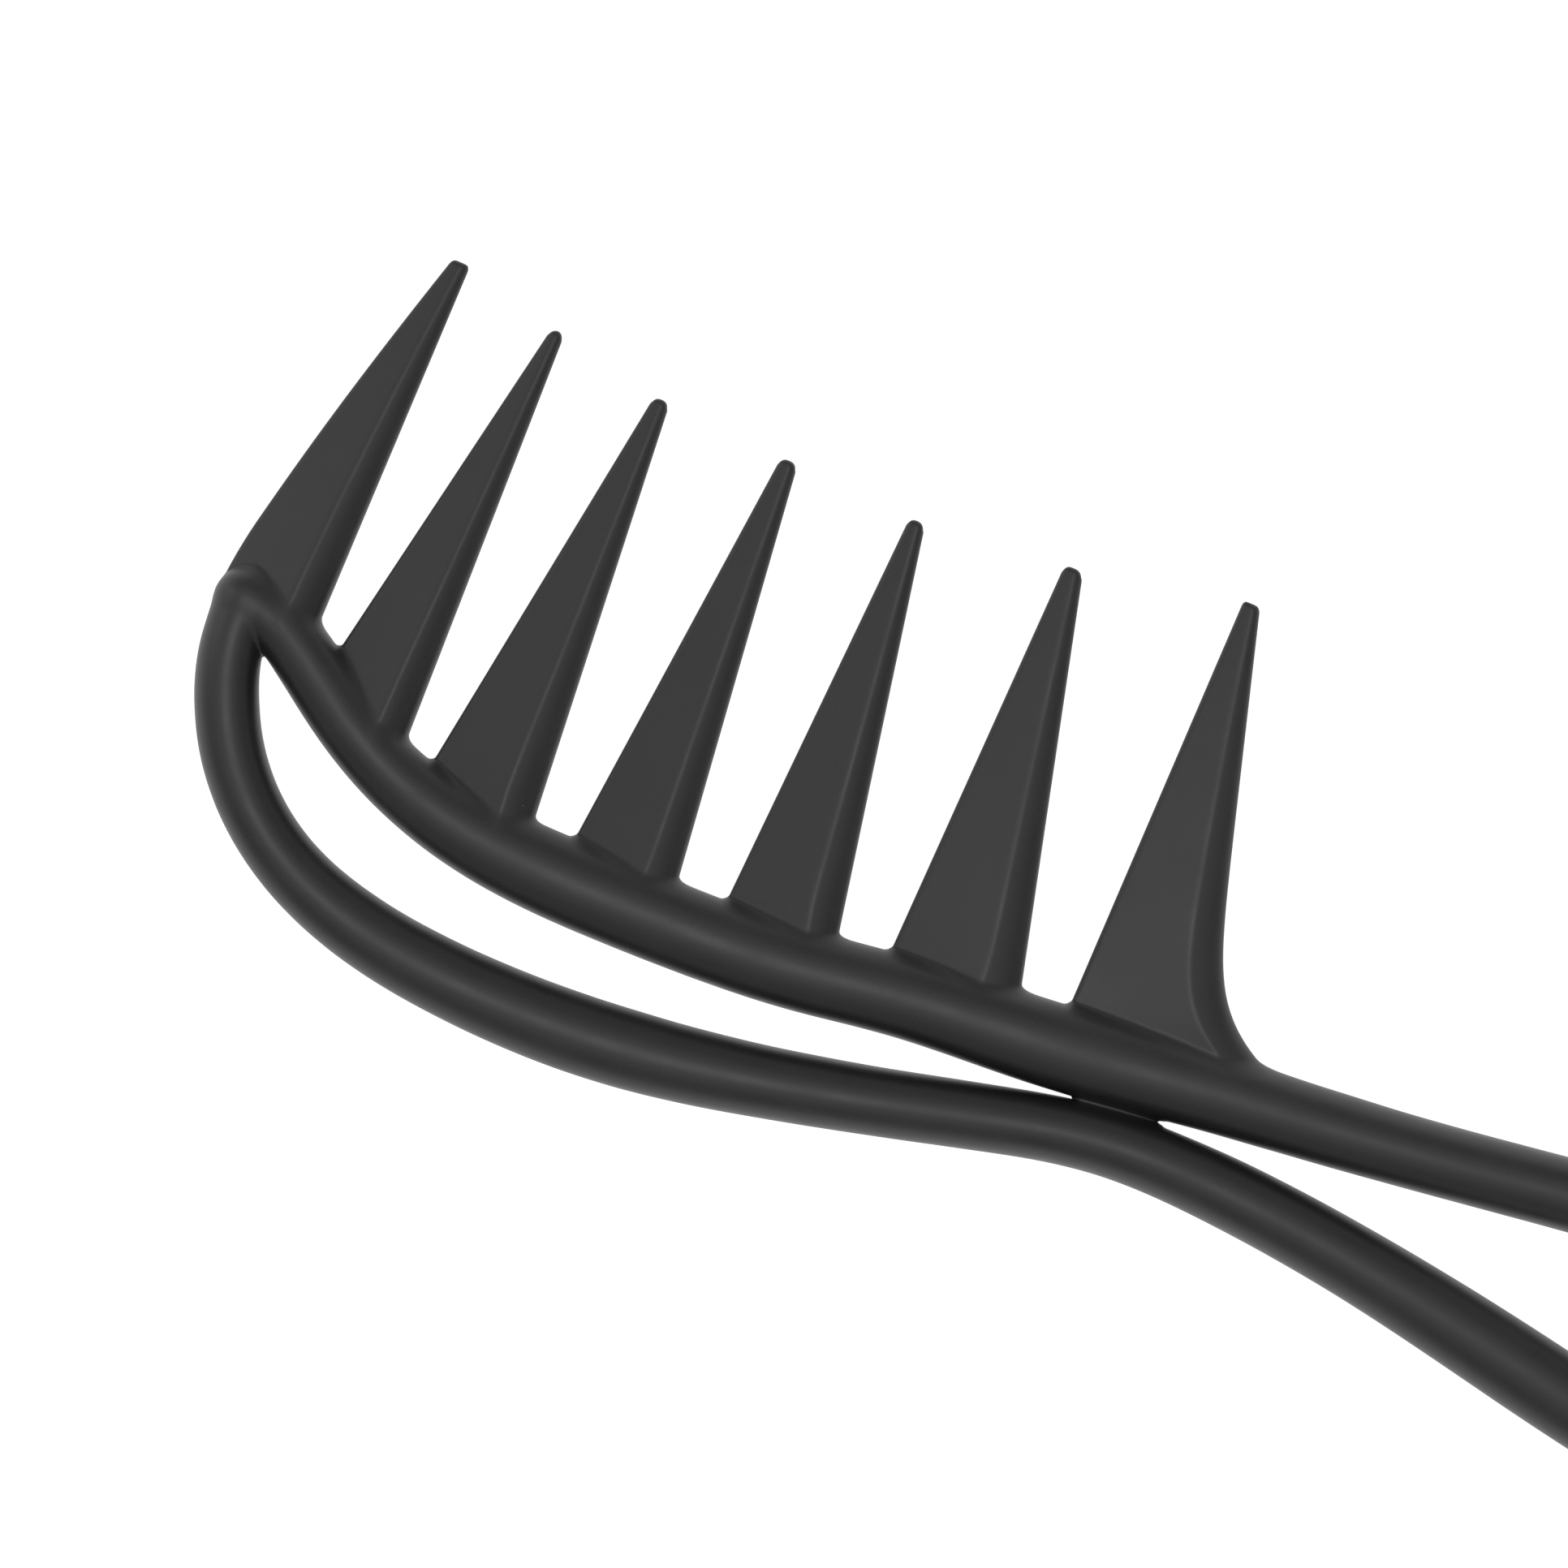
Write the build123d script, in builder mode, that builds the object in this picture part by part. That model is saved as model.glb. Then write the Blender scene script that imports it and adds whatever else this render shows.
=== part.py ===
from build123d import *
from math import exp, pi, sin
import os

# A one-piece moulded wide-tooth comb, in millimetres. It lies flat on its rails.
# X runs along the comb from the nose to the end of the handle, Y across it towards the tooth tips,
# and Z up from the surface. X = 0 is half way along, Y = 0 half way across, Z = 0 the surface.

# Overall sizes
head_length = 106.6  # from the tip of the nose to the middle of the waist
handle_length = 114.8  # from the middle of the waist to the end of the handle
rail_depth = 8.0  # the rails from front to back, handle and waist
nose_depth = 6.6  # the same at the nose, where the rails are slimmer
full_depth_share = 0.42  # share of the head over which the rails grow to their full depth
nose_width = 6.6  # the rails across, where they meet in the nose

# The two rails, as (share of the way along, height of the centreline, width of the rail)
spine_stations = [
    (0.100, -7.8, 6.7),
    (0.175, -12.8, 7.0),
    (0.250, -16.2, 7.4),
    (0.400, -18.2, 8.7),
    (0.550, -17.8, 8.7),
    (0.700, -16.1, 8.5),
    (0.850, -14.0, 8.7),
    (1.000, -12.1, 8.6),
]
bow_stations = [
    (0.050, -14.8, 6.6),
    (0.095, -22.2, 6.6),
    (0.160, -27.6, 6.7),
    (0.240, -30.8, 7.2),
    (0.360, -32.4, 7.8),
    (0.530, -31.6, 8.2),
    (0.690, -28.4, 7.4),
    (0.850, -23.9, 7.0),
    (1.000, -20.2, 6.9),
]
nose_joint_height = -5.2  # height at which the two centrelines meet

# The handle's loop. A spread is half the distance between the two centrelines.
handle_axis = -14.6  # height of the loop's middle line
waist_spread = 4.3  # where the rails lie side by side
handle_spread = 12.6  # where they are furthest apart
handle_end_width = 8.2
# (share of the way along, how far the rail has opened from one spread to the other, width of the rail)
upper_handle_stations = [
    (0.05, -0.12, 8.3),
    (0.12, 0.00, 8.0),
    (0.25, 0.23, 7.5),
    (0.38, 0.51, 7.5),
    (0.55, 0.85, 7.7),
    (0.70, 1.00, 7.9),
    (0.84, 0.85, 8.1),
    (0.94, 0.39, 8.2),
]
lower_handle_stations = [
    (0.05, 0.11, 7.0),
    (0.12, 0.12, 7.3),
    (0.25, 0.27, 7.7),
    (0.38, 0.53, 8.3),
    (0.55, 0.89, 8.5),
    (0.70, 1.00, 8.4),
    (0.84, 0.85, 8.3),
    (0.94, 0.39, 8.2),
]

# Where the moulding is divided, as distances along the comb
waist_after = 14.7  # the waist ends this far after its middle
handle_end_length = 26.0  # length of the handle's rounded end
bow_start = 0.042  # share of the head where the bow leaves the nose
web_before = 4.4  # the web between the rails, from the middle of the waist
web_after = 4.6
web_depth = 2.4

# The teeth, nose to handle: (share of the head where the root starts, width of the root,
# distance of the tip from the root's start, height of the tip, width of the tip, thickness at the root)
teeth = [
    (0.001, 11.0, 9.2, 35.0, 2.1, 5.8),
    (0.132, 10.1, 7.2, 32.6, 1.6, 5.6),
    (0.258, 12.0, 6.4, 30.5, 1.9, 5.6),
    (0.413, 11.5, 4.4, 30.1, 2.0, 4.9),
    (0.571, 12.0, 2.1, 29.8, 1.9, 4.4),
    (0.735, 13.9, 1.3, 31.9, 2.2, 4.4),
    (0.914, 14.9, 0.4, 36.0, 2.0, 4.4),
]
tip_depth = 1.5
crown_height = 0.5  # rounding beyond the tip's shoulders
crown_share = 0.5  # width and depth of the crown's top, as a share of the tip's
edge_depth = 0.8  # thickness of the sharp edge, which faces the nose
ridge_share = 0.63  # where the ridge runs at the root, from the sharp edge to the round one
tip_ridge_share = 0.52  # the same at the tip
root_sink = 3.2  # how far a tooth's root reaches into its rail
root_stub = 0.8  # the tooth is divided from its rail this far above the root
nose_root_rise = 0.2  # root of the first tooth above the nose's ball
nose_clearance = 0.1  # that root stays this far inside the tip of the nose
ball_inset = 0.02  # the ball stays this far inside the ends of the rails that it joins
first_tooth_swell = 0.4  # the first tooth's sharp edge bulges by this half way up
flare_reach = 7.3  # the last tooth spreads this far along the waist
flare_fade = 3.2  # and narrows by a factor of e over this height
curved_sections = 12  # sections of a tooth with a curved edge, closer together towards its root

nose_x = -(head_length + handle_length) / 2
nose_joint_x = nose_x + nose_width / 2
waist_x = nose_x + head_length
end_x = waist_x + handle_length
mid_z = rail_depth / 2
waist_end_x = waist_x + waist_after
handle_end_x = end_x - handle_end_length

os.makedirs("parts", exist_ok=True)


def head_depth(share):
    """Depth of a rail along the head, which grows evenly from the nose."""
    grown = min(share / full_depth_share, 1.0)
    return nose_depth + (rail_depth - nose_depth) * grown


def head_stations(stations):
    """Stations of a head rail, from the nose joint on, as (x, y, width, depth)."""
    joint = [(nose_joint_x, nose_joint_height, nose_width, nose_depth)]
    return joint + [(nose_x + s * head_length, y, width, head_depth(s)) for s, y, width in stations]


def handle_stations(stations, side):
    """Stations of the handle's upper (side 1) or lower (-1) rail, as (x, y, width, depth)."""
    rows = []
    for share, opened, width in stations:
        spread = waist_spread + opened * (handle_spread - waist_spread)
        rows.append((waist_x + share * handle_length, handle_axis + side * spread, width, rail_depth))
    return rows


def centreline(stations):
    """The smooth line through the middle of a rail."""
    with BuildLine() as line:
        Spline(*[(x, y) for x, y, width, depth in stations])
    return line.edge()


def rail(stations):
    """A rail lofted through upright ellipses that stand square to its centreline."""
    line = centreline(stations)
    with BuildPart() as body:
        for x, y, width, depth in stations:
            along = line.tangent_at(line.param_at_point((x, y)))
            across = Vector(-along.Y, along.X)
            with BuildSketch(Plane((x, y, mid_z), x_dir=across, z_dir=along)):
                Ellipse(width / 2, depth / 2)
        loft()
    return body.part


def station_at(stations, x):
    """Point on the centreline at x, its direction there, and the rail's width there."""
    line = centreline(stations)
    low, high = 0.0, 1.0
    while high - low > 1e-6:
        middle = (low + high) / 2
        if line.position_at(middle).X < x:
            low = middle
        else:
            high = middle
    before = max(row for row in stations if row[0] <= x)
    after = min(row for row in stations if row[0] > x)
    share = (x - before[0]) / (after[0] - before[0])
    width = before[2] + share * (after[2] - before[2])
    return line.position_at(low), line.tangent_at(low), width


def rail_top(stations, x):
    """Height of a rail's upper edge at x."""
    centre, along, width = station_at(stations, x)
    return centre.Y + width / 2 / along.X


upper_handle = handle_stations(upper_handle_stations, 1)
lower_handle = handle_stations(lower_handle_stations, -1)
handle_turn = (end_x - handle_end_width / 2, handle_axis, handle_end_width, rail_depth)
spine_line = head_stations(spine_stations) + upper_handle[:4]
bow_line = head_stations(bow_stations) + lower_handle[:4]
loop_line = [*upper_handle, handle_turn, *lower_handle[::-1]]
spine_rail = rail(spine_line)
bow_rail = rail(bow_line)
handle_loop = rail(loop_line)


def tooth_corners(row):
    """The root's two corners and the tip's two shoulders, in plan."""
    start_share, root_width, tip_offset, tip_y, tip_width, thickness = row
    start = nose_x + start_share * head_length
    if row is teeth[0]:
        start_y = nose_joint_height + nose_width / 2 + nose_root_rise
    else:
        start_y = rail_top(spine_line, start)
    end = start + root_width
    root = Vector(start, start_y), Vector(end, rail_top(spine_line, end))
    tip = [Vector(start + tip_offset + side * tip_width / 2, tip_y) for side in (-1, 1)]
    return (*root, *tip)


def tooth_section(left, right, thickness, risen):
    """A tooth's section: a flat face from the sharp edge to the ridge, then a round flank."""
    across = right - left
    width = across.length
    ridge = width * (ridge_share + (tip_ridge_share - ridge_share) * risen)
    flank = width - ridge
    half = thickness / 2
    edge = min(edge_depth, thickness) / 2
    upright = Vector(-across.Y, across.X)
    with BuildSketch(Plane((left.X, left.Y, mid_z), x_dir=across, z_dir=upright)) as section:
        with BuildLine():
            Polyline((ridge, -half), (0, -edge), (0, edge), (ridge, half))
            for side in (1, -1):
                ThreePointArc((ridge, side * half), (ridge + 0.75 * flank, 0.68 * side * half), (width, 0))
        make_face()
    return section.sketch


def curved_shares(row):
    """Shares of a tooth's height where extra sections stand, which only the two end teeth need."""
    if row in (teeth[0], teeth[-1]):
        return [(level / curved_sections) ** 1.5 for level in range(curved_sections)]
    return []


def tooth_blank(row):
    """A whole tooth, from inside its rail to the crown of its tip."""
    root_left, root_right, tip_left, tip_right = tooth_corners(row)
    thickness = row[-1]
    height = tip_left.Y - root_left.Y

    def section(share):
        left = root_left + (tip_left - root_left) * share
        right = root_right + (tip_right - root_right) * share
        risen = max(share, 0)
        if row is teeth[0]:
            left -= Vector(first_tooth_swell * sin(pi * risen), 0)
        if row is teeth[0] and share < 0:
            left = Vector(nose_x + nose_clearance, left.Y)
        if row is teeth[-1]:
            right += Vector(flare_reach * exp(-risen * height / flare_fade), 0)
        return tooth_section(left, right, thickness + (tip_depth - thickness) * share, risen)

    sunk = -root_sink / height
    rise = Vector(0, crown_height)
    inset = (tip_right - tip_left) * (1 - crown_share) / 2
    with BuildPart() as blank:
        loft([section(share) for share in (sunk, *curved_shares(row), 1.0)], ruled=True)
        crown = tooth_section(tip_left + inset + rise, tip_right - inset + rise, tip_depth * crown_share, 1.0)
        loft([section(1.0), crown])
    return blank.part


def root_plane(row):
    """The plane that divides a tooth from its rail, just above the root."""
    left, right, tip_left, tip_right = tooth_corners(row)
    across = right - left
    upright = Vector(-across.Y, across.X).normalized()
    return Plane((left.X, left.Y, mid_z), x_dir=across, z_dir=upright).offset(root_stub)


def across_rail(stations, x):
    """The plane square to a rail where its centreline passes x."""
    centre, along, width = station_at(stations, x)
    return Plane((centre.X, centre.Y, mid_z), z_dir=along)


blanks = [tooth_blank(row) for row in teeth]
root_planes = [root_plane(row) for row in teeth]
roots = [split(blank, plane, keep=Keep.BOTTOM) for blank, plane in zip(blanks, root_planes)]

first_gap = (tooth_corners(teeth[0])[1] + tooth_corners(teeth[1])[0]) / 2
spine_start = Plane((first_gap.X, first_gap.Y), z_dir=station_at(spine_line, first_gap.X)[1])
bow_start_plane = across_rail(bow_line, nose_x + bow_start * head_length)
last_gap = (tooth_corners(teeth[-2])[1] + tooth_corners(teeth[-1])[0]) / 2
waist_start = Plane.YZ.offset(last_gap.X)
waist_end = Plane.YZ.offset(waist_end_x)
loop_middle = Plane((0, handle_axis, 0), z_dir=(0, 1, 0))
end_start = Plane.YZ.offset(handle_end_x)

for number, (blank, plane) in enumerate(zip(blanks, root_planes), start=1):
    with BuildPart() as tooth:
        add(blank)
        split(bisect_by=plane, keep=Keep.TOP)
    tooth.part.label = f"tooth_{number}"
    export_step(tooth.part, f"parts/tooth_{number}.step")

nose_pieces = [
    split(split(spine_rail, spine_start, keep=Keep.BOTTOM), root_planes[0], keep=Keep.BOTTOM),
    split(bow_rail, bow_start_plane, keep=Keep.BOTTOM),
    split(roots[0], spine_start, keep=Keep.BOTTOM),
]
with BuildPart() as nose:
    with Locations((nose_joint_x, nose_joint_height, mid_z)):
        Sphere(nose_width / 2 - ball_inset)
    add(nose_pieces)
nose.part.label = "nose"
export_step(nose.part, "parts/nose.step")

with BuildPart() as spine:
    add(spine_rail)
    split(bisect_by=spine_start, keep=Keep.TOP)
    split(bisect_by=waist_start, keep=Keep.BOTTOM)
    for root in roots[1:-1]:
        add(root)
spine.part.label = "spine"
export_step(spine.part, "parts/spine.step")

with BuildPart() as bow:
    add(bow_rail)
    split(bisect_by=bow_start_plane, keep=Keep.TOP)
    split(bisect_by=waist_start, keep=Keep.BOTTOM)
bow.part.label = "bow"
export_step(bow.part, "parts/bow.step")

waist_pieces = [
    split(split(head_rail, waist_start, keep=Keep.TOP), waist_end, keep=Keep.BOTTOM)
    for head_rail in (spine_rail, bow_rail)
]
with BuildPart() as waist:
    add(waist_pieces)
    upper, lower = station_at(spine_line, waist_x)[0], station_at(bow_line, waist_x)[0]
    with BuildSketch(Plane.XY.offset(mid_z)):
        with Locations((waist_x + (web_after - web_before) / 2, (upper.Y + lower.Y) / 2)):
            Rectangle(web_before + web_after, upper.Y - lower.Y)
    extrude(amount=web_depth / 2, both=True)
    add(roots[-1])
waist.part.label = "waist"
export_step(waist.part, "parts/waist.step")

with BuildPart() as handle_upper_rail:
    add(handle_loop)
    split(bisect_by=waist_end, keep=Keep.TOP)
    split(bisect_by=end_start, keep=Keep.BOTTOM)
    split(bisect_by=loop_middle, keep=Keep.TOP)
handle_upper_rail.part.label = "handle_upper_rail"
export_step(handle_upper_rail.part, "parts/handle_upper_rail.step")

with BuildPart() as handle_lower_rail:
    add(handle_loop)
    split(bisect_by=waist_end, keep=Keep.TOP)
    split(bisect_by=end_start, keep=Keep.BOTTOM)
    split(bisect_by=loop_middle, keep=Keep.BOTTOM)
handle_lower_rail.part.label = "handle_lower_rail"
export_step(handle_lower_rail.part, "parts/handle_lower_rail.step")

with BuildPart() as handle_end:
    add(handle_loop)
    split(bisect_by=end_start, keep=Keep.TOP)
handle_end.part.label = "handle_end"
export_step(handle_end.part, "parts/handle_end.step")
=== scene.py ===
from math import radians

import bmesh
import bpy
import numpy as np
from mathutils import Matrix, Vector


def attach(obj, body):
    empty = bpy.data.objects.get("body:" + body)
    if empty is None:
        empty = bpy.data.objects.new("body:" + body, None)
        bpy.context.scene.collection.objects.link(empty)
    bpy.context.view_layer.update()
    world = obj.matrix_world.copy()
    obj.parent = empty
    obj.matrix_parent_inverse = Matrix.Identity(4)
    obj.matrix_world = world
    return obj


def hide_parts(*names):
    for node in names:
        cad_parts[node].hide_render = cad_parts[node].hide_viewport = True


# The looks of a one-piece moulded comb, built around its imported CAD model. Shapes are worked out in
# millimetres in the row's frame and scaled to metres at the end. The comb is the same above and below
# its middle plane, so its whole surface follows from one field over the plan: the square of half its
# thickness, which is negative outside the outline.

MM = 0.001
MESH_STEP = 0.25  # size of the surface's faces
FINER = 3  # samples of the field along one face
MARGIN = 2.0  # room around the comb in the grids
FAR = -30.0  # the field's value well outside
RAIL_REACH = 6.6  # a rail's field is worked out this far from its centreline
LINE_STEP = 0.2  # spacing of the points on a centreline
MARCH_STEP = 1.0  # distance between the sections read from the CAD rails
CLEAR_SHARE = 0.48  # share of the half depth that a rail's fit leaves out, where the waist's web is
INNER_SHARE = 0.25  # share of the half width that it leaves out, next to the centreline
SIDE_ROOM = 0.35  # and how far beyond the last half width it looks
SMOOTHING = 4  # sections on each side that a rail's smoothing uses
STRAY_REACH = 3  # sections on each side that show up a stray reading
NOSE_ROOM = 9.5  # length of the upper rail, from the tip of the nose, where other parts hide its side
TOOTH_LEVELS = 30  # heights at which a tooth's section is read
LEVEL_MARGINS = (0.1, 0.05)  # which keep this far from the tooth's root and from its crown
RIDGE_TOLERANCE = 0.004  # points this little below the highest are on the ridge
EDGE_TOLERANCE = 0.02  # and this close to the foremost are on the sharp edge
TOOTH_SINK = 6.0  # room for a tooth's field to run on into its rail
EDGE_ROUNDING = 0.34  # rounding of a tooth's sharp edge
RIDGE_ROUNDING = 0.5  # half width of its rounded ridge
FLANK_FULLNESS = 0.45  # how full its round flank is: 0 is a parabola, 1 an ellipse
TIP_ROUNDING = 0.6  # rounding of its tip from front to back
TIP_CORNERS = 0.75  # rounding of its tip's corners
END_TIP_CORNERS = 0.35  # the same on the first and the last tooth, which end in a flatter cut
OUTSIDE_STEEPNESS = 8.0  # how fast a tooth's field falls outside its sharp edge
FLARE_FADES = (2.2, 5.0)  # range of heights over which a tooth's flare at its root may fade
FADES_TRIED = 15  # heights tried in that range
FLARE_DEPTH = 1.0  # below this depth under the heights that were read, its lines run on straight
SLOPE_STEP = 0.1  # step over which the slope of those lines is taken
TOOTH_ROOM = (3.0, 9.0, 2.0)  # room for a tooth's field in front of it, behind it and above it
ROOT_BLEND = 4.5  # fillet between a tooth and its rail, in the field's square millimetres
RAIL_BLEND = 3.0  # fillet where the two rails meet
WEB_BLEND = 10.0  # the same over the waist's web, which fills the gap between them
WEB_FADE = 0.8  # distance beyond the web over which that ends
NOSE_REACH = 3.0  # length of the nose over which the first tooth's fillet starts
LEAST_BLEND = (0.01, 0.02)  # least share of a fillet, between the rails and at a tooth: not zero
NOSE_CLEARANCE = 0.1  # the first tooth stays this far inside the tip of the nose
NOSE_ROUNDING = 0.9  # and its edge bends towards it over a little more than this
TURN_ROWS = 20  # sections at the start of a rail's line, where it turns at the handle's end
BOW_ROOM = 2.4  # the bow's piece starts this far beyond its CAD node, clear of the rails' fillet
CUT_ROOM = 1.3  # reach of a cut around the CAD nodes' shared face
CROWN_HEIGHT = 0.5  # height of the rounding at a tooth's tip
CUT_TOLERANCE = 0.02  # points this close to a cut count as on it
SAME_CUT = 0.9999  # cosine between the directions of two shared faces that one cut makes
BLUR_PASSES = 2  # rounds of softening the field
SETTLE_STEPS = 2  # steps back to the surface in each round of evening out
SETTLE_PASSES = 3  # rounds of evening out the surface's points
FACES_TRIED = 400  # triangles of a CAD node that are tried as part of a shared face
SMALLEST_FACE = 1e-6  # twice the area of the smallest triangle that counts
UPRIGHT = 0.003  # most that an upright face's direction may rise
LEVEL_TOLERANCE = 0.001  # most that a level face may rise from corner to corner
SAME_WAY = 0.99999  # cosine between two directions that count as the same
SAME_PLACE = 0.01  # distance between two planes that count as the same

# Plastic. Scales are per metre, sizes in millimetres, colours linear.
PLASTIC_DARK = (0.0085, 0.0080, 0.0080)
PLASTIC_LIGHT = (0.0120, 0.0112, 0.0110)
SCUFF = (0.030, 0.028, 0.027)
DUST = (0.16, 0.155, 0.15)
REFRACTION = 1.5
NOISE_RANGE = (0.3, 0.7)  # the part of a noise that is used
CLOUD_SCALE = 140.0
ROUGHNESS = (0.38, 0.46)
GRAIN_SCALE = 5200.0
GRAIN_DEPTH = 0.004
GRAIN_PEAKS = (0.45, 0.75)  # the part of the grain that is scuffed
GRAIN_TINT = 0.25
GRAIN_ROUGHNESS = 0.03
RIPPLE_SCALE = 260.0
RIPPLE_DEPTH = 0.02
PARTING_WIDTH = 0.09
PARTING_HEIGHT = 0.03
PARTING_TINT = 0.4
DUST_SCALE = 330.0
DUST_SIZE = 0.03  # as a share of the distance between specks
DUST_SHARE = 0.10
DUST_HEIGHT = 0.03
DIRT_ROUGHNESS = 0.15  # added along the parting line and on the dust

# Stage, in metres
TABLE_SIZE = 6.0
TABLE_SHADE = 0.3
TABLE_GLOW = 0.95
ROOM_COLOUR = (1.0, 0.985, 0.99, 1)
OVERHEAD_LIGHT = 0.92  # the room's light from straight above,
SLANTING_LIGHT = 0.42  # from half way down
LEVEL_LIGHT = 1.1  # and from all round the table
OVERHEAD_EDGE = (0.62, 0.86)  # where the first gives way to the second, as the height of the direction
LEVEL_EDGE = (0.02, 0.32)  # and the second to the third
LAMPS = [  # (name, place from the middle of the view, diameter, watts)
    ("top_light", (0.0, 0.0, 1.4), 0.5, 2.4),
    ("left_light", (-0.75, 0.05, 0.42), 0.5, 0.9),
]
LENS = 100.0
SENSOR = 36.0
VIEW_WIDTH = 0.161  # width of the view at the comb's middle plane
VIEW_SHARE = 0.2773  # where the view is centred, as a share of the comb's length
VIEW_TURN = 24.0  # degrees between the view and the comb's length

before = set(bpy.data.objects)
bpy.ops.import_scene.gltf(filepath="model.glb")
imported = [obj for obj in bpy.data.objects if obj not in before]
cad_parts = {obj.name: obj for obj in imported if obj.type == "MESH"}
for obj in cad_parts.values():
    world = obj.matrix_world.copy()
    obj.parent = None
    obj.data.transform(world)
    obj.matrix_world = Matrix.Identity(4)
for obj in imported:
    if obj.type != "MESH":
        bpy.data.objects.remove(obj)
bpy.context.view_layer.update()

TEETH = [f"tooth_{number}" for number in range(1, 8)]
RAILS = ["nose", "spine", "bow", "waist", "handle_upper_rail", "handle_lower_rail", "handle_end"]
ROOT_OF = {tooth: "spine" for tooth in TEETH} | {TEETH[0]: "nose", TEETH[-1]: "waist"}


# ---- Reading the CAD nodes ----


def corners_and_faces(node):
    """A CAD node's vertices, in millimetres, and its triangles."""
    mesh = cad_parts[node].data
    mesh.calc_loop_triangles()
    corners = np.empty(len(mesh.vertices) * 3)
    mesh.vertices.foreach_get("co", corners)
    faces = np.empty(len(mesh.loop_triangles) * 3, int)
    mesh.loop_triangles.foreach_get("vertices", faces)
    return corners.reshape(-1, 3) / MM, faces.reshape(-1, 3)


cad = {node: corners_and_faces(node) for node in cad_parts}
low_corner = np.min([corners.min(0) for corners, faces in cad.values()], 0)
high_corner = np.max([corners.max(0) for corners, faces in cad.values()], 0)
mid_z = (low_corner[2] + high_corner[2]) / 2


def edge_ends(nodes):
    """The two ends of every triangle edge of some CAD nodes."""
    starts, ends = [], []
    for node in nodes:
        corners, faces = cad[node]
        for a, b in ((0, 1), (1, 2), (2, 0)):
            starts.append(corners[faces[:, a]])
            ends.append(corners[faces[:, b]])
    return np.concatenate(starts), np.concatenate(ends)


def cut(edges, point, direction):
    """Points where the edges cross the plane through a point, square to a direction."""
    starts, ends = edges
    before = (starts - point) @ direction
    after = (ends - point) @ direction
    crossing = (before > 0) != (after > 0)
    share = before[crossing] / (before[crossing] - after[crossing])
    return starts[crossing] + (ends[crossing] - starts[crossing]) * share[:, None]


# ---- The rails: centreline, half width and half depth ----

rail_edges = {node: edge_ends([node]) for node in RAILS}


def fit_section(centre, along, half_width):
    """Centre, half width and half depth of a rail's section, read on its side away from the teeth."""
    point, direction = np.array([*centre, mid_z]), np.array([*along, 0.0])
    aside = np.array([-along[1], along[0]])
    low, high = centre - RAIL_REACH, centre + RAIL_REACH
    nearby = [
        node
        for node in RAILS
        if (cad[node][0].max(0)[:2] > low).all() and (cad[node][0].min(0)[:2] < high).all()
    ]
    points = np.concatenate([cut(rail_edges[node], point, direction) for node in nearby])
    across = (points[:, :2] - centre) @ aside
    height = np.abs(points[:, 2] - mid_z)
    half_depth = height[np.abs(across) < half_width / 2].max()
    inner, outer = INNER_SHARE * half_width, half_width + SIDE_ROOM
    side = (across > inner) & (across < outer) & (height > CLEAR_SHARE * half_depth)
    reach = np.sqrt(1 - np.clip(height[side] / half_depth, 0, 1) ** 2)
    width, offset = np.polyfit(reach, across[side], 1)
    return centre + offset * aside, width, half_depth


def march(centre, along, half_width, is_done):
    """Sections of a rail, one after another, from a start on its centreline."""
    rows = []
    while not is_done(centre):
        centre, half_width, half_depth = fit_section(centre, along, half_width)
        rows.append((*centre, half_width, half_depth))
        if len(rows) > 2:
            along = np.array(rows[-1][:2]) - np.array(rows[-3][:2])
            along /= np.linalg.norm(along)
        centre = centre + along * MARCH_STEP
    return np.array(rows)


def smooth(rows):
    """Each column smoothed by a parabola through the rows around it."""
    offsets = np.arange(-SMOOTHING, SMOOTHING + 1)
    weights = np.linalg.pinv(np.vander(offsets, 3))[-1]
    before = 2 * rows[0] - rows[SMOOTHING:0:-1]
    after = 2 * rows[-1] - rows[-2 : -SMOOTHING - 2 : -1]
    padded = np.concatenate([before, rows, after])
    return np.stack([np.convolve(column, weights[::-1], "valid") for column in padded.T], 1)


def refit(rows):
    """The sections read once more, now square to the smoothed centreline, without strays."""
    along = np.gradient(rows[:, :2], axis=0)
    along /= np.linalg.norm(along, axis=1)[:, None]
    aside = np.stack([-along[:, 1], along[:, 0]], 1)
    fitted = [fit_section(row[:2], way, row[2]) for row, way in zip(rows, along)]
    found = np.array(
        [
            ((centre - row[:2]) @ side, width, depth)
            for (centre, width, depth), row, side in zip(fitted, rows, aside)
        ]
    )
    reach = STRAY_REACH
    padded = np.pad(found, ((reach, reach), (0, 0)), "edge")
    windows = np.lib.stride_tricks.sliding_window_view(padded, 2 * reach + 1, axis=0)
    calm = np.median(windows, axis=-1)
    return smooth(np.hstack([rows[:, :2] + aside * calm[:, :1], calm[:, 1:]]))


def resample(rows):
    """The same line through evenly spaced points, LINE_STEP apart, on a smooth curve."""
    lengths = np.linalg.norm(np.diff(rows[:, :2], axis=0), axis=1)
    along = np.concatenate([[0], np.cumsum(lengths)])
    slopes = np.stack([np.gradient(column, along) for column in rows.T], 1)
    places = np.linspace(0, along[-1], int(along[-1] / LINE_STEP) + 1)
    piece = np.clip(np.searchsorted(along, places, "right") - 1, 0, len(lengths) - 1)
    span = lengths[piece][:, None]
    t = (places - along[piece])[:, None] / span
    start = (1 + 2 * t) * (1 - t) ** 2 * rows[piece] + t * (1 - t) ** 2 * span * slopes[piece]
    end = t**2 * (3 - 2 * t) * rows[piece + 1] + t**2 * (t - 1) * span * slopes[piece + 1]
    return start + end


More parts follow.
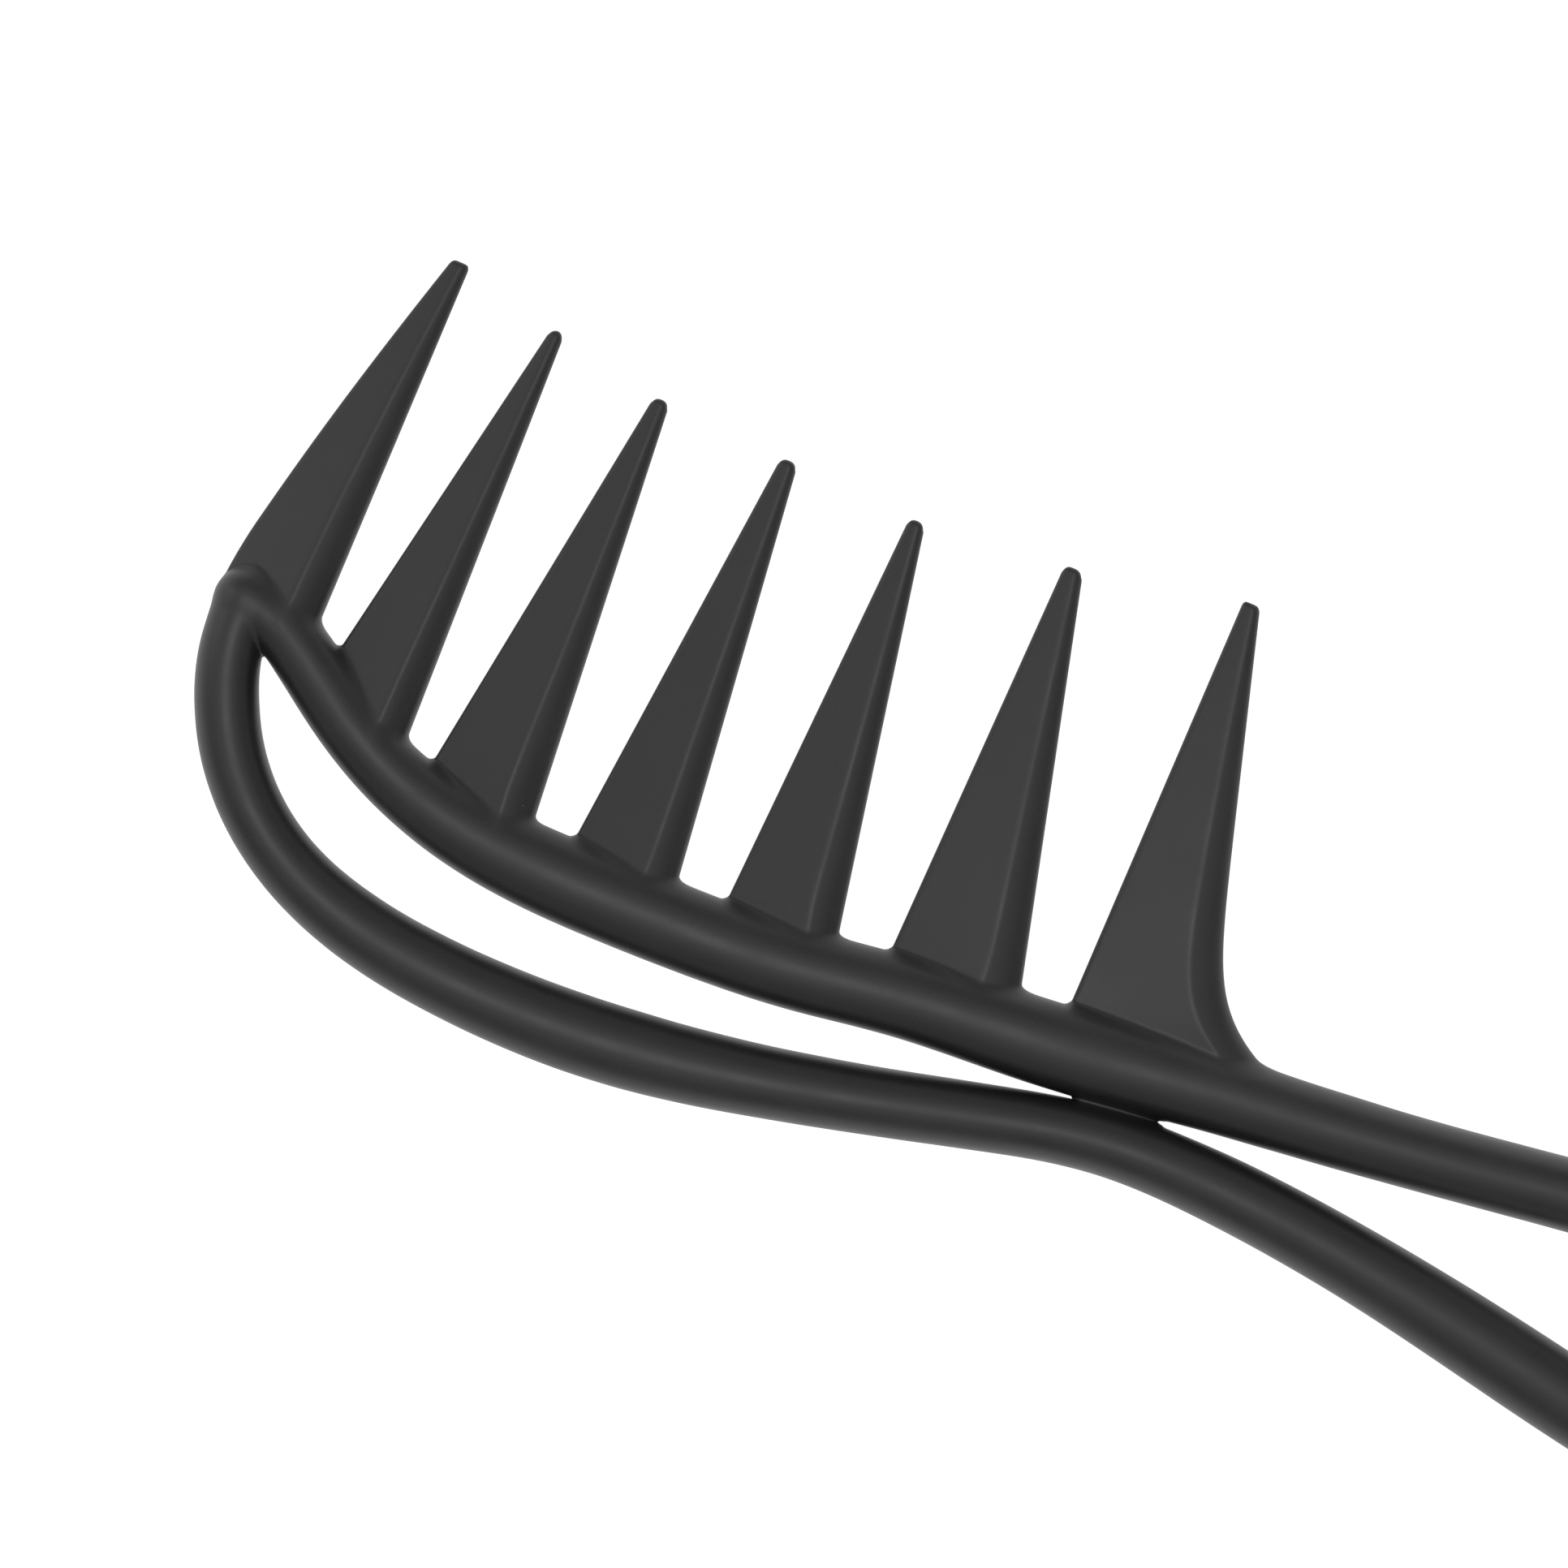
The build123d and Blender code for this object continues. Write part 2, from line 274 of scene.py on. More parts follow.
end_corners = cad["handle_end"][0]
turn_y = (end_corners[:, 1].min() + end_corners[:, 1].max()) / 2
turn = cut(edge_ends(["handle_end"]), np.array([0, turn_y, 0]), np.array([0.0, 1.0, 0.0]))[:, 0]
turn_half = (turn.max() - turn.min()) / 2
turn_centre = np.array([turn.max() - turn_half, turn_y])

nose_corners = cad["nose"][0]
nose_tip = nose_corners[nose_corners[:, 0].argmin(), :2]

upper = march(turn_centre, np.array([0.0, 1.0]), turn_half, lambda c: c[0] < nose_tip[0] + NOSE_ROOM)
lower = march(turn_centre, np.array([0.0, -1.0]), turn_half, lambda c: c[0] < 0 and c[1] > nose_tip[1])
lead = 2 * SMOOTHING
upper_rows = refit(refit(smooth(np.concatenate([lower[lead:0:-1], upper]))))[lead:]
lower_rows = refit(refit(smooth(np.concatenate([upper[lead:0:-1], lower]))))[lead:]
upper_rows[0] = lower_rows[0] = (upper_rows[0] + lower_rows[0]) / 2

# Both rails end in the middle of the nose's ball. The upper one bends there evenly.
lower_rows = lower_rows[(lower_rows[:, 0] > 0) | (lower_rows[:, 1] < nose_tip[1] - MARCH_STEP)]
ball_half = lower_rows[-1, 2]
ball = np.array([nose_tip[0] + ball_half, nose_tip[1], ball_half, lower_rows[-1, 3]])
lower_rows = np.vstack([lower_rows, ball])
gap = np.linalg.norm(ball[:2] - upper_rows[-1, :2])
way = (upper_rows[-1] - upper_rows[-3]) / np.linalg.norm((upper_rows[-1] - upper_rows[-3])[:2])
bend = (ball - upper_rows[-1] - way * gap) / gap**2
steps = np.arange(MARCH_STEP, gap - MARCH_STEP / 2, MARCH_STEP)[:, None]
upper_rows = np.vstack([upper_rows, upper_rows[-1] + way * steps + bend * steps**2, ball])


# ---- The teeth: outline, ridge and thickness at each height ----


def shared_face(first, second):
    """The flat upright face that two CAD nodes share: its corners, a point on it and its direction."""
    best = (0, None)
    flats = []
    for node in (first, second):
        corners, faces = cad[node]
        a, b, c = (corners[faces[:, k]] for k in range(3))
        crosses = np.cross(b - a, c - a)
        areas = np.linalg.norm(crosses, axis=1)
        keep = areas > SMALLEST_FACE
        normals = crosses[keep] / areas[keep][:, None]
        upright = np.abs(normals[:, 2]) < UPRIGHT
        flats.append((corners[faces[keep][upright]], normals[upright], areas[keep][upright] / 2))
    triangles, normals, areas = flats[0]
    offsets = (triangles[:, 0] * normals).sum(1)
    other_triangles, other_normals, other_areas = flats[1]
    other_offsets = (other_triangles[:, 0] * other_normals).sum(1)
    for pick in np.argsort(-areas)[:FACES_TRIED]:
        same = (normals @ normals[pick] > SAME_WAY) & (np.abs(offsets - offsets[pick]) < SAME_PLACE)
        apart = np.abs(other_offsets + offsets[pick])
        facing = (other_normals @ normals[pick] < -SAME_WAY) & (apart < SAME_PLACE)
        shared = min(areas[same].sum(), other_areas[facing].sum())
        if shared > best[0]:
            best = (shared, (triangles[same].reshape(-1, 3), triangles[pick, 0], normals[pick]))
    return best[1]


def tooth_levels(node):
    """Rows of (height, left edge, ridge, right edge, half thickness at the ridge, at the edge)."""
    edges = edge_ends([node])
    root_face = shared_face(node, ROOT_OF[node])[0]
    top = cad[node][0][:, 1].max()
    lowest = root_face[:, 1].max() + LEVEL_MARGINS[0]
    highest = top - CROWN_HEIGHT - LEVEL_MARGINS[1]
    rows = []
    for height in np.linspace(lowest, highest, TOOTH_LEVELS):
        points = cut(edges, np.array([0, height, 0]), np.array([0.0, 1.0, 0.0]))
        x, z = points[:, 0], np.abs(points[:, 2] - mid_z)
        ridge = x[z > z.max() - RIDGE_TOLERANCE].mean()
        edge = z[x < x.min() + EDGE_TOLERANCE].max()
        rows.append((height, x.min(), ridge, x.max(), z.max(), edge))
    return np.array(rows), top


# ---- The field over the plan ----

step = MESH_STEP / FINER
origin = np.floor((low_corner[:2] - MARGIN) / MESH_STEP) * MESH_STEP
cells = np.ceil((high_corner[:2] + MARGIN - origin) / MESH_STEP).astype(int)
field_x = origin[0] + step * np.arange(cells[0] * FINER + 1)
field_y = origin[1] + step * np.arange(cells[1] * FINER + 1)


def window(low, high):
    """The slices of the field's grid that cover a box in plan."""
    first = np.clip(np.floor((low - origin) / step).astype(int), 0, None)
    last = np.ceil((high - origin) / step).astype(int) + 1
    return slice(first[0], last[0]), slice(first[1], last[1])


def rail_field(rows):
    """A rail's field: an ellipse square to the nearest point of its centreline."""
    line = resample(rows)
    nearest = np.full((len(field_x), len(field_y)), RAIL_REACH**2)
    field = np.full(nearest.shape, FAR)
    for start, end in zip(line[:-1], line[1:]):
        part = window(np.minimum(start, end)[:2] - RAIL_REACH, np.maximum(start, end)[:2] + RAIL_REACH)
        x, y = field_x[part[0], None] - start[0], field_y[None, part[1]] - start[1]
        run = end - start
        share = np.clip((x * run[0] + y * run[1]) / (run[0] ** 2 + run[1] ** 2), 0, 1)
        away = (x - share * run[0]) ** 2 + (y - share * run[1]) ** 2
        closer = away < nearest[part]
        width, depth = start[2] + share * run[2], start[3] + share * run[3]
        value = depth**2 * (1 - away / width**2)
        nearest[part] = np.where(closer, away, nearest[part])
        field[part] = np.where(closer, value, field[part])
    return field


def smooth_min(a, b, room):
    """The smaller of two fields, with the crease between them rounded."""
    share = np.clip(1 - np.abs(a - b) / room, 0, 1)
    return np.minimum(a, b) - share**2 * room / 4


def smooth_max(a, b, room):
    return -smooth_min(-a, -b, room)


def rounded(depth, radius):
    """Rises from 0 to 1 over a radius as a circle's half thickness squared does, and falls outside."""
    inside = np.clip(depth / radius, 0, 1)
    return np.where(depth > 0, inside * (2 - inside), 2 * depth / radius)


def smooth_lines(rows, heights):
    """A tooth's lines at other heights, as smooth curves: a cubic with a flare that fades upwards."""
    y, values = rows[:, 0], rows[:, 1:]
    scale = y[-1] - y[0]

    def curves(y_at, fade):
        rise = (y_at - rows[0, 0]) / scale
        return np.column_stack([np.ones_like(rise), rise, rise**2, rise**3, np.exp(-rise * scale / fade)])

    def miss(fade):
        fit = np.linalg.lstsq(curves(y, fade), values, rcond=None)[0]
        return np.abs(curves(y, fade) @ fit - values).sum()

    fade = min(np.linspace(*FLARE_FADES, FADES_TRIED), key=miss)
    fit = np.linalg.lstsq(curves(y, fade), values, rcond=None)[0]
    lowest = y[0] - FLARE_DEPTH
    reached = np.clip(heights, lowest, None)
    start, after = curves(np.array([lowest, lowest + SLOPE_STEP]), fade) @ fit
    below = np.clip(lowest - heights, 0, None)[:, None]
    return curves(reached, fade) @ fit - below * (after - start) / SLOPE_STEP


def height_at(rows, x):
    """Height of a rail's centreline at x, away from the handle's end."""
    line = rows[TURN_ROWS:][::-1]
    return np.interp(x, line[:, 0], line[:, 1])


def tooth_field(node):
    """A tooth's field: a flat face that rises from the sharp edge to the ridge, then a round flank."""
    rows, top = tooth_levels(node)
    lowest = cad[node][0][:, 1].min() - TOOTH_SINK
    front, behind, above = TOOTH_ROOM
    low = np.array([rows[:, 1].min() - front, lowest])
    high = np.array([rows[:, 3].max() + behind, top + above])
    part = window(low, high)
    x, y = field_x[part[0], None], field_y[part[1]]
    left, ridge, right, half, edge = (column[None] for column in smooth_lines(rows, y).T)
    left = smooth_max(left, nose_tip[0] + NOSE_CLEARANCE, NOSE_ROUNDING)
    face = np.clip(edge + (half - edge) * (x - left) / (ridge - left), edge, None)
    outside = np.clip(left - x, 0, None)
    flat = face**2 * rounded(x - left, EDGE_ROUNDING) - OUTSIDE_STEEPNESS * outside**2
    turn = np.clip((x - ridge) / (right - ridge), 0, None)
    flank = half**2 * (1 - turn) * (1 + FLANK_FULLNESS * turn)
    crease = 2 * half * (half - edge) / (ridge - left) * RIDGE_ROUNDING
    body = smooth_min(flat, flank, crease)
    corners = END_TIP_CORNERS if node in (TEETH[0], TEETH[-1]) else TIP_CORNERS
    corner = np.clip(1 - np.minimum(x - left, right - x) / corners, 0, 1)
    tip = top - corners * (1 - np.sqrt(1 - corner**2))
    end = rounded(tip - y, TIP_ROUNDING)
    body = np.where(body > 0, body * np.clip(end, 0, None), body) + np.clip(end, None, 0)
    # Inside its rail the tooth ends at the centreline
    rail_y = height_at(upper_rows, field_x[part[0]])
    body = np.where(y > rail_y[:, None], body, FAR)
    field = np.full((len(field_x), len(field_y)), FAR)
    field[part] = np.maximum(body, FAR)
    return field


def web_reach():
    """Where the web that joins the rails starts and ends, along the waist."""
    corners, faces = cad["waist"]
    triangles = corners[faces]
    level = np.ptp(triangles[:, :, 2], axis=1) < LEVEL_TOLERANCE
    raised = triangles[level & (triangles[:, 0, 2] > mid_z)]
    spans = np.cross(raised[:, 1] - raised[:, 0], raised[:, 2] - raised[:, 0])[:, 2]
    flat = raised[np.abs(spans) > SMALLEST_FACE]
    return flat[:, :, 0].min(), flat[:, :, 0].max()


upper_field, lower_field = rail_field(upper_rows), rail_field(lower_rows)
# The rails blend where they part, and more over the waist's web, but not round the handle's end
end_x = cad["handle_end"][0][:, 0].min()
room = RAIL_BLEND * np.clip((end_x - field_x) / (end_x - cad["waist"][0][:, 0].max()), LEAST_BLEND[0], 1)
web_low, web_high = web_reach()
beyond = np.clip(np.abs(field_x - (web_low + web_high) / 2) - (web_high - web_low) / 2, 0, None)
room = np.maximum(room, WEB_BLEND * (1 - beyond / WEB_FADE))
field = smooth_max(upper_field, lower_field, room[:, None])
# There is no fillet at the tip of the nose, where the first tooth's edge runs on into the bow's outline
room = ROOT_BLEND * np.clip((field_x - nose_tip[0]) / NOSE_REACH, LEAST_BLEND[1], 1)[:, None]
for tooth in TEETH:
    field = smooth_max(field, tooth_field(tooth), room)


def blur(values, passes):
    """Softens a grid by a short even filter, a few times."""
    for _ in range(passes):
        for axis in (0, 1):
            values = (np.roll(values, 1, axis) + 2 * values + np.roll(values, -1, axis)) / 4
    return values


field = blur(field, BLUR_PASSES)
slope_x, slope_y = np.gradient(field, step)


def look_up(grid, points):
    """A grid's value at points in plan, between its samples."""
    place = (points - origin) / step
    low = np.clip(place.astype(int), 0, np.array(grid.shape) - 2)
    u, v = (place - low).T
    i, j = low.T
    return (
        grid[i, j] * (1 - u) * (1 - v)
        + grid[i + 1, j] * u * (1 - v)
        + grid[i, j + 1] * (1 - u) * v
        + grid[i + 1, j + 1] * u * v
    )


# ---- The surface where the field equals the height above the middle, squared ----


def outward(points):
    """The direction out of the surface at each point, and how far the point is from the surface."""
    plan, height = points[:, :2], points[:, 2]
    slope = np.stack([-look_up(slope_x, plan), -look_up(slope_y, plan), 2 * height], 1)
    steepness = np.linalg.norm(slope, axis=1)
    away = (height**2 - look_up(field, plan)) / steepness
    return slope / steepness[:, None], away


def surface():
    """The comb's whole surface as (points about the middle plane, quads)."""
    layers = int(np.ceil((high_corner[2] - mid_z + MARGIN / 2) / MESH_STEP))
    heights = MESH_STEP * (np.arange(-layers, layers) + 0.5)
    coarse = field[::FINER, ::FINER]
    values = (coarse[:, :, None] - heights[None, None, :] ** 2).astype(np.float32)
    solid = values > 0
    shape = np.array(solid.shape) - 1
    corners = [(a, b, c) for a in (0, 1) for b in (0, 1) for c in (0, 1)]

    def at(array, corner):
        return array[tuple(slice(k, k + n) for k, n in zip(corner, shape))]

    count = sum(at(solid, corner).astype(np.int8) for corner in corners)
    cell = np.argwhere((count > 0) & (count < 8))
    number = np.full(shape, -1)
    number[tuple(cell.T)] = np.arange(len(cell))
    total, crossings = np.zeros((len(cell), 3)), np.zeros(len(cell))
    for corner in corners:
        for axis in range(3):
            if corner[axis]:
                continue
            first = cell + corner
            second = first.copy()
            second[:, axis] += 1
            a, b = values[tuple(first.T)], values[tuple(second.T)]
            crossed = (a > 0) != (b > 0)
            share = np.where(crossed, a / np.where(crossed, a - b, 1), 0)
            spot = np.array(corner, float) + share[:, None] * np.eye(3)[axis]
            total += spot * crossed[:, None]
            crossings += crossed
    places = cell + total / crossings[:, None]
    points = np.column_stack([origin + places[:, :2] * MESH_STEP, heights[0] + places[:, 2] * MESH_STEP])

    quads = []
    for axis in range(3):
        u, v = (axis + 1) % 3, (axis + 2) % 3
        ahead = [slice(None)] * 3
        behind = [slice(None)] * 3
        ahead[axis], behind[axis] = slice(1, None), slice(None, -1)
        inner = [slice(1, -1)] * 3
        inner[axis] = slice(None)
        change = solid[tuple(behind)][tuple(inner)].astype(np.int8) - solid[tuple(ahead)][tuple(inner)]
        edge = np.argwhere(change != 0)
        leaving = change[tuple(edge.T)] > 0
        for k in (u, v):
            edge[:, k] += 1
        ring = []
        for du, dv in ((-1, -1), (0, -1), (0, 0), (-1, 0)):
            around = edge.copy()
            around[:, u] += du
            around[:, v] += dv
            ring.append(number[tuple(around.T)])
        ring = np.stack(ring, 1)
        quads.append(np.where(leaving[:, None], ring, ring[:, ::-1]))
    return points, np.concatenate(quads)


def settle(points, quads):
    """Evens out the points along the surface and puts them exactly on it."""
    pairs = np.concatenate([quads[:, [k, (k + 1) % 4]] for k in range(4)])
    for _ in range(SETTLE_PASSES):
        total = np.zeros_like(points)
        for axis in range(3):
            total[:, axis] = np.bincount(pairs[:, 0], points[pairs[:, 1], axis], len(points))
            total[:, axis] += np.bincount(pairs[:, 1], points[pairs[:, 0], axis], len(points))
        count = np.bincount(pairs.ravel(), minlength=len(points))
        points = (points + total / count[:, None]) / 2
        for _ in range(SETTLE_STEPS):
            direction, away = outward(points)
            points = points - direction * np.clip(away, -MESH_STEP, MESH_STEP)[:, None]
    return points


rough_points, quads = surface()
points = settle(rough_points, quads)


# ---- The pieces: the surface divided where the CAD nodes meet ----

SEAMS = [(tooth, rail) for tooth, rail in ROOT_OF.items()] + [
    ("nose", "spine"),
    ("nose", "bow"),
    ("spine", "waist"),
    ("bow", "waist"),
    ("waist", "handle_upper_rail"),
    ("waist", "handle_lower_rail"),
    ("handle_upper_rail", "handle_end"),
    ("handle_lower_rail", "handle_end"),
]


def cuts():
    """Each cut as (lowest and highest corner in plan, a point, a direction). A plane is cut once."""
    found = []
    for first, second in SEAMS:
        face_corners, point, direction = shared_face(first, second)
        low = face_corners[:, :2].min(0) - CUT_ROOM
        high = face_corners[:, :2].max(0) + CUT_ROOM
        if second == "bow":
            shift = direction * BOW_ROOM
            low, high, point = low + shift[:2], high + shift[:2], point + shift
        for k, (other_low, other_high, other_point, other_direction) in enumerate(found):
            apart = abs((point - other_point) @ direction)
            if abs(direction @ other_direction) > SAME_CUT and apart < SAME_PLACE:
                found[k] = (np.minimum(low, other_low), np.maximum(high, other_high), point, direction)
                break
        else:
            found.append((low, high, point, direction))
    return found


def divided():
    """The surface as a bmesh, in millimetres about the middle plane, cut and closed at every seam."""
    mesh = bpy.data.meshes.new("surface")
    mesh.vertices.add(len(points))
    mesh.vertices.foreach_set("co", points.ravel())
    mesh.loops.add(quads.size)
    mesh.loops.foreach_set("vertex_index", quads.ravel())
    mesh.polygons.add(len(quads))
    mesh.polygons.foreach_set("loop_start", np.arange(len(quads)) * 4)
    mesh.polygons.foreach_set("use_smooth", np.ones(len(quads), bool))
    mesh.update(calc_edges=True)
    bm = bmesh.new()
    bm.from_mesh(mesh)
    bpy.data.meshes.remove(mesh)
    all_faces = list(bm.faces)
    lowest, highest = points[quads, :2].min(1), points[quads, :2].max(1)
    for low, high, point, direction in cuts():
        near = [all_faces[k] for k in np.flatnonzero((lowest > low).all(1) & (highest < high).all(1))]
        near_corners = {corner for face in near for corner in face.verts}
        near_edges = {edge for face in near for edge in face.edges}
        parts = [*near_corners, *near_edges, *near]
        plane_point = Vector((point[0], point[1], 0))
        made = bmesh.ops.bisect_plane(
            bm, geom=parts, dist=CUT_TOLERANCE, plane_co=plane_point, plane_no=Vector(direction)
        )["geom_cut"]
        edges = [part for part in made if isinstance(part, bmesh.types.BMEdge)]
        split = bmesh.ops.split_edges(bm, edges=edges)["edges"]
        open_edges = [edge for edge in {*edges, *split} if edge.is_boundary]
        for cap in bmesh.ops.holes_fill(bm, edges=open_edges, sides=0)["faces"]:
            cap.smooth = False
    return bm


def islands(bm):
    """The bmesh's faces as one list for each connected piece."""
    unseen = set(bm.faces)
    found = []
    while unseen:
        front = [unseen.pop()]
        group = []
        while front:
            face = front.pop()
            group.append(face)
            for edge in face.edges:
                for other in edge.link_faces:
                    if other in unseen:
                        unseen.discard(other)
                        front.append(other)
        found.append(group)
    return found


def piece_of(group, number, material):
    """A piece of the moulding, as an object in the row's frame, in metres."""
    corners = list({vertex for face in group for vertex in face.verts})
    index = {vertex: k for k, vertex in enumerate(corners)}
    places = np.array([vertex.co for vertex in corners])
    mesh = bpy.data.meshes.new(f"piece_{number}")
    in_row = (places + (0, 0, mid_z)) * MM
    mesh.from_pydata(in_row.tolist(), [], [[index[v] for v in face.verts] for face in group])
    smooth_faces = np.array([face.smooth for face in group])
    mesh.polygons.foreach_set("use_smooth", smooth_faces)
    mesh.materials.append(material)
    # Exact directions at every corner, so that no seam shows where the pieces meet
    directions = outward(places)[0]
    used = np.empty(len(mesh.loops), int)
    mesh.loops.foreach_get("vertex_index", used)
    directions = directions[used]
    for face, keep in zip(mesh.polygons, smooth_faces):
        if not keep:
            directions[face.loop_start : face.loop_start + face.loop_total] = face.normal
    mesh.normals_split_custom_set(directions)
    return bpy.data.objects.new(mesh.name, mesh)


# ---- Material: satin black moulded plastic ----


def plastic():
    """Near-black satin plastic: a fine moulded grain, faint clouding, a parting line and some dust."""
    material = bpy.data.materials.new("moulded_plastic")
    material.use_nodes = True
    nodes, links = material.node_tree.nodes, material.node_tree.links
    shader = nodes["Principled BSDF"]
    place = nodes.new("ShaderNodeTexCoord").outputs["Object"]

    def noise(scale, detail, roughness=0.5):
        node = nodes.new("ShaderNodeTexNoise")
        node.inputs["Scale"].default_value = scale
        node.inputs["Detail"].default_value = detail
        node.inputs["Roughness"].default_value = roughness
        links.new(place, node.inputs["Vector"])
        return node.outputs["Fac"]

    def spread(source, low, high, to_low, to_high):
        node = nodes.new("ShaderNodeMapRange")
        for name, value in zip(("From Min", "From Max", "To Min", "To Max"), (low, high, to_low, to_high)):
            node.inputs[name].default_value = value
        links.new(source, node.inputs["Value"])
        return node.outputs["Result"]

    def maths(operation, first, second):
        node = nodes.new("ShaderNodeMath")
        node.operation = operation
        for socket, value in zip(node.inputs, (first, second)):
            if isinstance(value, (int, float)):
                socket.default_value = value
            else:
                links.new(value, socket)
        return node.outputs["Value"]

    def mixed(share, first, second):
        node = nodes.new("ShaderNodeMix")
        node.data_type = "RGBA"
        links.new(share, node.inputs["Factor"])
        for socket, value in ((node.inputs["A"], first), (node.inputs["B"], second)):
            if isinstance(value, tuple):
                socket.default_value = (*value, 1)
            else:
                links.new(value, socket)
        return node.outputs["Result"]

    clouds = noise(CLOUD_SCALE, 4)
    grain = noise(GRAIN_SCALE, 3, 0.6)
    ripple = noise(RIPPLE_SCALE, 1)

    split = nodes.new("ShaderNodeSeparateXYZ")
    links.new(place, split.inputs["Vector"])
    from_middle = maths("ABSOLUTE", maths("SUBTRACT", split.outputs["Z"], mid_z * MM), 0.0)
    parting = spread(from_middle, 0.0, PARTING_WIDTH * MM, 1.0, 0.0)

    dust_cells = nodes.new("ShaderNodeTexVoronoi")
    dust_cells.inputs["Scale"].default_value = DUST_SCALE
    links.new(place, dust_cells.inputs["Vector"])
    near_centre = spread(dust_cells.outputs["Distance"], DUST_SIZE / 2, DUST_SIZE, 1.0, 0.0)
    cell = nodes.new("ShaderNodeSeparateColor")
    links.new(dust_cells.outputs["Color"], cell.inputs["Color"])
    rare = maths("GREATER_THAN", cell.outputs["Red"], 1 - DUST_SHARE)
    dust = maths("MULTIPLY", near_centre, rare)

    colour = mixed(spread(clouds, *NOISE_RANGE, 0.0, 1.0), PLASTIC_DARK, PLASTIC_LIGHT)
    colour = mixed(maths("MULTIPLY", spread(grain, *GRAIN_PEAKS, 0.0, 1.0), GRAIN_TINT), colour, SCUFF)
    colour = mixed(maths("MULTIPLY", parting, PARTING_TINT), colour, SCUFF)
    colour = mixed(dust, colour, DUST)
    links.new(colour, shader.inputs["Base Color"])

    grainy = spread(grain, *NOISE_RANGE, -GRAIN_ROUGHNESS, GRAIN_ROUGHNESS)
    uneven = maths("ADD", spread(clouds, *NOISE_RANGE, *ROUGHNESS), grainy)
    uneven = maths("ADD", uneven, maths("MULTIPLY", maths("ADD", parting, dust), DIRT_ROUGHNESS))
    links.new(uneven, shader.inputs["Roughness"])

    bumps = None
    for height, distance in (
        (ripple, RIPPLE_DEPTH),
        (grain, GRAIN_DEPTH),
        (parting, PARTING_HEIGHT),
        (dust, DUST_HEIGHT),
    ):
        bump = nodes.new("ShaderNodeBump")
        bump.inputs["Distance"].default_value = distance * MM
        links.new(height, bump.inputs["Height"])
        if bumps:
            links.new(bumps, bump.inputs["Normal"])
        bumps = bump.outputs["Normal"]
    links.new(bumps, shader.inputs["Normal"])
    shader.inputs["IOR"].default_value = REFRACTION
    return material


black = plastic()
bm = divided()
names = sorted(cad)
node_boxes = {name: np.concatenate([cad[name][0].min(0), cad[name][0].max(0)]) for name in names}
for number, group in enumerate(islands(bm)):
    piece = piece_of(group, number, black)
    bpy.context.scene.collection.objects.link(piece)
    places = np.array([vertex.co for vertex in piece.data.vertices]) / MM
    own_box = np.concatenate([places.min(0), places.max(0)])
    node = min(names, key=lambda name: np.abs(node_boxes[name] - own_box).sum())
    names.remove(node)
    piece.name = piece.data.name = f"{node}_moulded"
    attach(piece, "root")
    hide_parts(node)
bm.free()

# ---- The stage: a plain white table, soft light from all round, and the photograph's view ----


